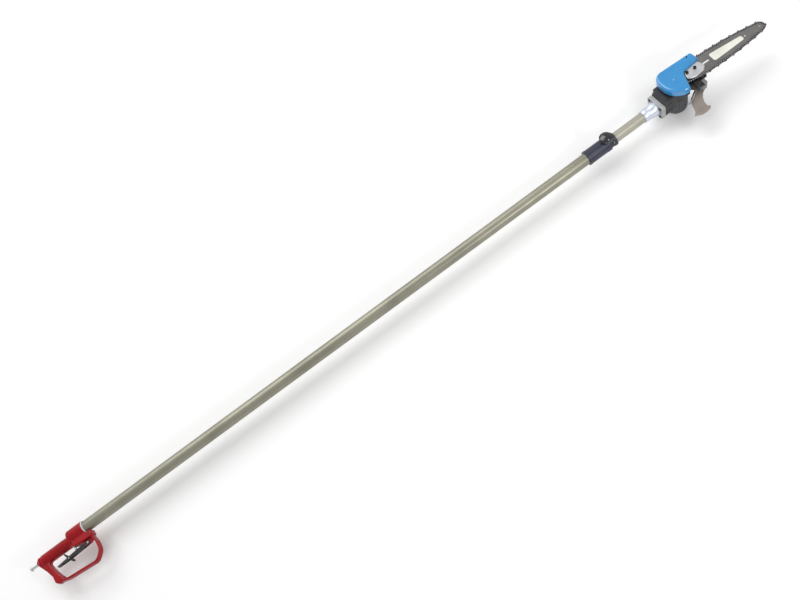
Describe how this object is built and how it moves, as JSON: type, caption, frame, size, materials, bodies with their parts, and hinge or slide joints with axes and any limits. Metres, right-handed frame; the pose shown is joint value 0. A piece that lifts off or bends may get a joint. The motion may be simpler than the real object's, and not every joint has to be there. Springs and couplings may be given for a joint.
{
  "type": "telescoping pole saw",
  "caption": "Compressed-air chain pruning saw on a telescoping two-stage aluminium pole, with a D-handle and trigger at one end and a bar, chain and pulling hook at the other.",
  "frame": {"origin": "centre of the end face of the air inlet nipple at the tail of the handle", "axes": "+X along the pole from the handle to the bar tip, +Y the side that faces up in use (away from the finger guard and the hook), +Z the right side of the tool, which faces up when it lies on its left side"},
  "size_m": [2.5312, 0.165, 0.1195],
  "materials": {
    "red_paint": "gloss red enamel on a casting",
    "champagne_anodised": "satin anodised, olive bronze",
    "pale_anodised": "satin anodised, pale champagne",
    "navy_plastic": "moulded, slightly shiny",
    "black_plastic": "moulded black",
    "black_steel": "black oxide",
    "bright_steel": "bright plated",
    "steel": "machined",
    "spring_steel": "spring wire",
    "silver_aluminium": "turned, bright",
    "flange_grey": "cast, bead blasted",
    "motor_grey": "dark grey coated casting",
    "cover_blue": "gloss light blue",
    "brass": "machined",
    "rubber": "nitrile",
    "white_ring": "moulded off-white",
    "vane_resin": "phenolic laminate",
    "bar_steel": "ground, grey",
    "panel_white": "off-white resin",
    "chain_steel": "oiled dark steel",
    "cutter_chrome": "dull plated cutters",
    "hook_steel": "beige-grey rolled plate",
    "bracket_grey": "grey cast block"
  },
  "bodies": {
    "pole": {"handle_body": "red_paint", "socket_ring": "white_ring", "socket_screw": "black_steel", "inlet_nipple": "bright_steel", "valve_cartridge": "brass", "valve_spring": "spring_steel", "trigger_pin": "steel", "outer_tube": "champagne_anodised", "clamp_collar": "navy_plastic", "guide_bush": "white_ring", "clamp_nut": "steel"},
    "valve": {"valve_seal": "rubber", "valve_stem": "bright_steel"},
    "trigger": {"trigger_lever": "black_plastic", "latch_pin": "steel"},
    "latch": {"lockoff_latch": "black_plastic"},
    "knob": {"clamp_bolt": "steel", "clamp_knob": "navy_plastic"},
    "head": {"inner_tube": "pale_anodised", "piston_head": "black_plastic", "piston_seals": "rubber", "ferrule": "silver_aluminium", "ferrule_pin": "steel", "flange_plate": "flange_grey", "flange_gasket": "rubber", "flange_screws": "bright_steel", "head_housing": "motor_grey", "motor_case": "motor_grey", "end_cap": "motor_grey", "end_cap_screws": "steel", "motor_liner": "steel", "front_end_plate": "steel", "rear_end_plate": "steel", "rotor_bearings": "bright_steel", "side_cover": "cover_blue", "cover_screws": "black_steel", "guide_bar": "bar_steel", "bar_inlay": "panel_white", "nose_bearing": "steel", "clamp_plate": "silver_aluminium", "bar_screws": "black_steel", "chain_drive_links": "chain_steel", "chain_tie_straps": "chain_steel", "chain_cutters": "cutter_chrome", "chain_rivets": "chain_steel", "hook_bracket": "bracket_grey", "pulling_hook": "hook_steel", "hook_screws": "black_steel", "chain_catcher": "black_plastic", "catcher_screws": "black_steel", "lever_screw": "steel"},
    "rotor": {"rotor": "steel", "rotor_vanes": "vane_resin", "sprocket": "black_steel", "sprocket_nut": "black_steel"},
    "nose": {"nose_sprocket": "steel"},
    "wire_lever": {"wire_lever": "black_steel"}
  },
  "joints": [
    {"name": "tube_slide", "type": "slide", "parent": "pole", "child": "head", "axis": [1, 0, 0], "range_m": [-0.095, 1.2]},
    {"name": "trigger_hinge", "type": "hinge", "parent": "pole", "child": "trigger", "pos_m": [0.183, -0.037, 0], "axis": [0, 0, -1], "range_deg": [0, 7], "stiffness_Nm_per_rad": 2, "springref_deg": -6.88, "deforming": ["valve_spring"]},
    {"name": "latch_hinge", "type": "hinge", "parent": "trigger", "child": "latch", "pos_m": [0.116, -0.0415, 0], "axis": [0, 0, 1], "range_deg": [0, 60]},
    {"name": "valve_slide", "type": "slide", "parent": "pole", "child": "valve", "axis": [0, 1, 0], "range_m": [0, 0.0052]},
    {"name": "knob_turn", "type": "hinge", "parent": "pole", "child": "knob", "pos_m": [2, 0.01, 0], "axis": [0, 0, 1], "range_deg": [0, 540]},
    {"name": "rotor_spin", "type": "hinge", "parent": "head", "child": "rotor", "pos_m": [2.2415, 0.01, 0], "axis": [0, 0, 1], "continuous": true, "deforming": ["chain_drive_links", "chain_tie_straps", "chain_cutters", "chain_rivets"]},
    {"name": "nose_spin", "type": "hinge", "parent": "head", "child": "nose", "pos_m": [2.51203, -0.00437, 0.048], "axis": [0, 0, 1], "continuous": true},
    {"name": "wire_lever_hinge", "type": "hinge", "parent": "head", "child": "wire_lever", "pos_m": [2.273, -0.0314, 0.0245], "axis": [0, 0, 1], "range_deg": [-12, 35]}
  ],
  "couplings": [
    {"joint": "latch_hinge", "follows": "trigger_hinge", "ratio": 8},
    {"joint": "valve_slide", "follows": "trigger_hinge", "m_per_rad": 0.041},
    {"joint": "nose_spin", "follows": "rotor_spin", "ratio": 1.2857}
  ]
}
